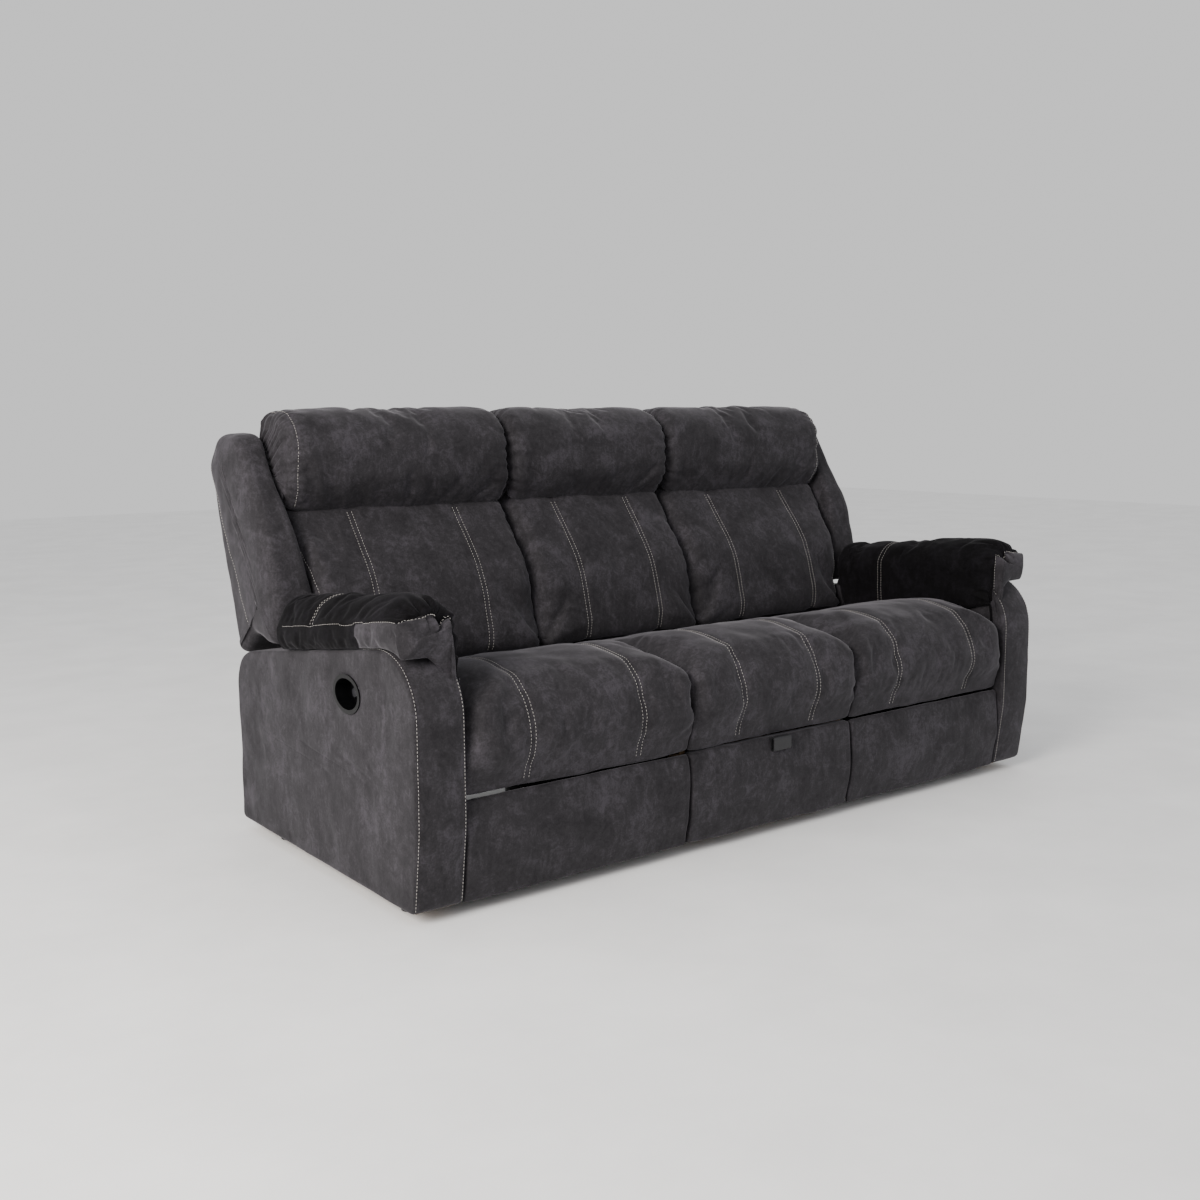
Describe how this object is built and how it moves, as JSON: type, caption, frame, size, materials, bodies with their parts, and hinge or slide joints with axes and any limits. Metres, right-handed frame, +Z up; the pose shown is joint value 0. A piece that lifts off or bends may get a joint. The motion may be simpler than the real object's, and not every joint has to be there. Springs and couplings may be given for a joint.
{
  "type": "reclining sofa",
  "caption": "Three-seat reclining sofa: both end seats recline with fold-out footrests, the middle seat is fixed over a storage drawer; cup-mounted release levers on the arms.",
  "frame": {"origin": "on the floor, at the middle of the sofa's footprint", "axes": "+Z up, the sofa faces -Y, +X to the right of someone looking at its front"},
  "size_m": [2.09, 1.074, 1.072],
  "materials": {
    "upholstery": "matte",
    "frame_board": "matte",
    "black_steel": "satin",
    "bare_steel": "satin",
    "lever_plastic": "gloss",
    "foot_plastic": "matte",
    "cable_sheath": "satin",
    "webbing": "matte"
  },
  "bodies": {
    "base": {"back_pivot_pins": "bare_steel", "base_rails": "black_steel", "drawer_runners": "bare_steel", "feet": "foot_plastic", "left_arm_cover": "upholstery", "left_arm_frame": "frame_board", "left_arm_pad": "upholstery", "left_lever_cup": "lever_plastic", "middle_back_cover": "upholstery", "middle_back_frame": "frame_board", "middle_box": "frame_board", "middle_head_roll": "upholstery", "middle_lumbar_cushion": "upholstery", "middle_seat_cushion": "upholstery", "middle_seat_frame": "frame_board", "middle_seat_springs": "bare_steel", "release_cables": "cable_sheath", "right_arm_cover": "upholstery", "right_arm_frame": "frame_board", "right_arm_pad": "upholstery", "right_lever_cup": "lever_plastic", "side_plates": "black_steel"},
    "drawer": {"drawer_box": "frame_board", "drawer_front": "upholstery", "drawer_pull": "webbing", "drawer_slides": "bare_steel"},
    "left_back": {"left_back_brackets": "black_steel", "left_back_cover": "upholstery", "left_back_frame": "frame_board", "left_head_roll": "upholstery", "left_lumbar_cushion": "upholstery", "left_wing": "upholstery"},
    "left_footrest": {"left_footrest_board": "frame_board", "left_footrest_brackets": "black_steel", "left_footrest_pad": "upholstery"},
    "left_reach_links": {"left_front_links": "black_steel", "left_link_pins": "bare_steel"},
    "left_release_lever": {"left_lever": "lever_plastic"},
    "left_drive_links": {"left_rear_links": "black_steel"},
    "left_seat": {"left_seat_cushion": "upholstery", "left_seat_frame": "black_steel", "left_seat_pins": "bare_steel", "left_seat_springs": "bare_steel"},
    "right_back": {"right_back_brackets": "black_steel", "right_back_cover": "upholstery", "right_back_frame": "frame_board", "right_head_roll": "upholstery", "right_lumbar_cushion": "upholstery", "right_wing": "upholstery"},
    "right_footrest": {"right_footrest_board": "frame_board", "right_footrest_brackets": "black_steel", "right_footrest_pad": "upholstery"},
    "right_reach_links": {"right_front_links": "black_steel", "right_link_pins": "bare_steel"},
    "right_release_lever": {"right_lever": "lever_plastic"},
    "right_drive_links": {"right_rear_links": "black_steel"},
    "right_seat": {"right_seat_cushion": "upholstery", "right_seat_frame": "black_steel", "right_seat_pins": "bare_steel", "right_seat_springs": "bare_steel"}
  },
  "joints": [
    {"name": "left_recline", "type": "hinge", "parent": "base", "child": "left_back", "pos_m": [0, 0.206, 0.3], "axis": [-1, 0, 0], "range_deg": [0, 25]},
    {"name": "left_seat_slide", "type": "slide", "parent": "base", "child": "left_seat", "axis": [0, -1, 0], "range_m": [0, 0.0751]},
    {"name": "left_footrest", "type": "hinge", "parent": "left_seat", "child": "left_drive_links", "pos_m": [0, -0.394, 0.244], "axis": [-1, 0, 0], "range_deg": [0, 128.64]},
    {"name": "left_footrest_elbow", "type": "hinge", "parent": "left_drive_links", "child": "left_reach_links", "pos_m": [0, -0.26889, 0.08797], "axis": [-1, 0, 0], "range_deg": [-102.51, 0]},
    {"name": "left_footrest_board", "type": "hinge", "parent": "left_reach_links", "child": "left_footrest", "pos_m": [0, -0.462, 0.14], "axis": [-1, 0, 0], "range_deg": [0, 63.87]},
    {"name": "left_release", "type": "hinge", "parent": "base", "child": "left_release_lever", "pos_m": [0, -0.256, 0.4695], "axis": [1, 0, 0], "range_deg": [0, 25], "stiffness_Nm_per_rad": 0.8, "springref_deg": -20.05},
    {"name": "right_recline", "type": "hinge", "parent": "base", "child": "right_back", "pos_m": [0, 0.206, 0.3], "axis": [-1, 0, 0], "range_deg": [0, 25]},
    {"name": "right_seat_slide", "type": "slide", "parent": "base", "child": "right_seat", "axis": [0, -1, 0], "range_m": [0, 0.0751]},
    {"name": "right_footrest", "type": "hinge", "parent": "right_seat", "child": "right_drive_links", "pos_m": [0, -0.394, 0.244], "axis": [-1, 0, 0], "range_deg": [0, 128.64]},
    {"name": "right_footrest_elbow", "type": "hinge", "parent": "right_drive_links", "child": "right_reach_links", "pos_m": [0, -0.26889, 0.08797], "axis": [-1, 0, 0], "range_deg": [-102.51, 0]},
    {"name": "right_footrest_board", "type": "hinge", "parent": "right_reach_links", "child": "right_footrest", "pos_m": [0, -0.462, 0.14], "axis": [-1, 0, 0], "range_deg": [0, 63.87]},
    {"name": "right_release", "type": "hinge", "parent": "base", "child": "right_release_lever", "pos_m": [0, -0.256, 0.4695], "axis": [1, 0, 0], "range_deg": [0, 25], "stiffness_Nm_per_rad": 0.8, "springref_deg": -20.05},
    {"name": "drawer_slide", "type": "slide", "parent": "base", "child": "drawer", "axis": [0, -1, 0], "range_m": [0, 0.3]}
  ],
  "couplings": [
    {"joint": "left_seat_slide", "follows": "left_recline", "m_per_rad": 0.17189},
    {"joint": "left_footrest_elbow", "follows": "left_footrest", "ratio": -0.79533},
    {"joint": "left_footrest_board", "follows": "left_footrest", "ratio": 0.49495},
    {"joint": "right_seat_slide", "follows": "right_recline", "m_per_rad": 0.17189},
    {"joint": "right_footrest_elbow", "follows": "right_footrest", "ratio": -0.79533},
    {"joint": "right_footrest_board", "follows": "right_footrest", "ratio": 0.49495}
  ]
}
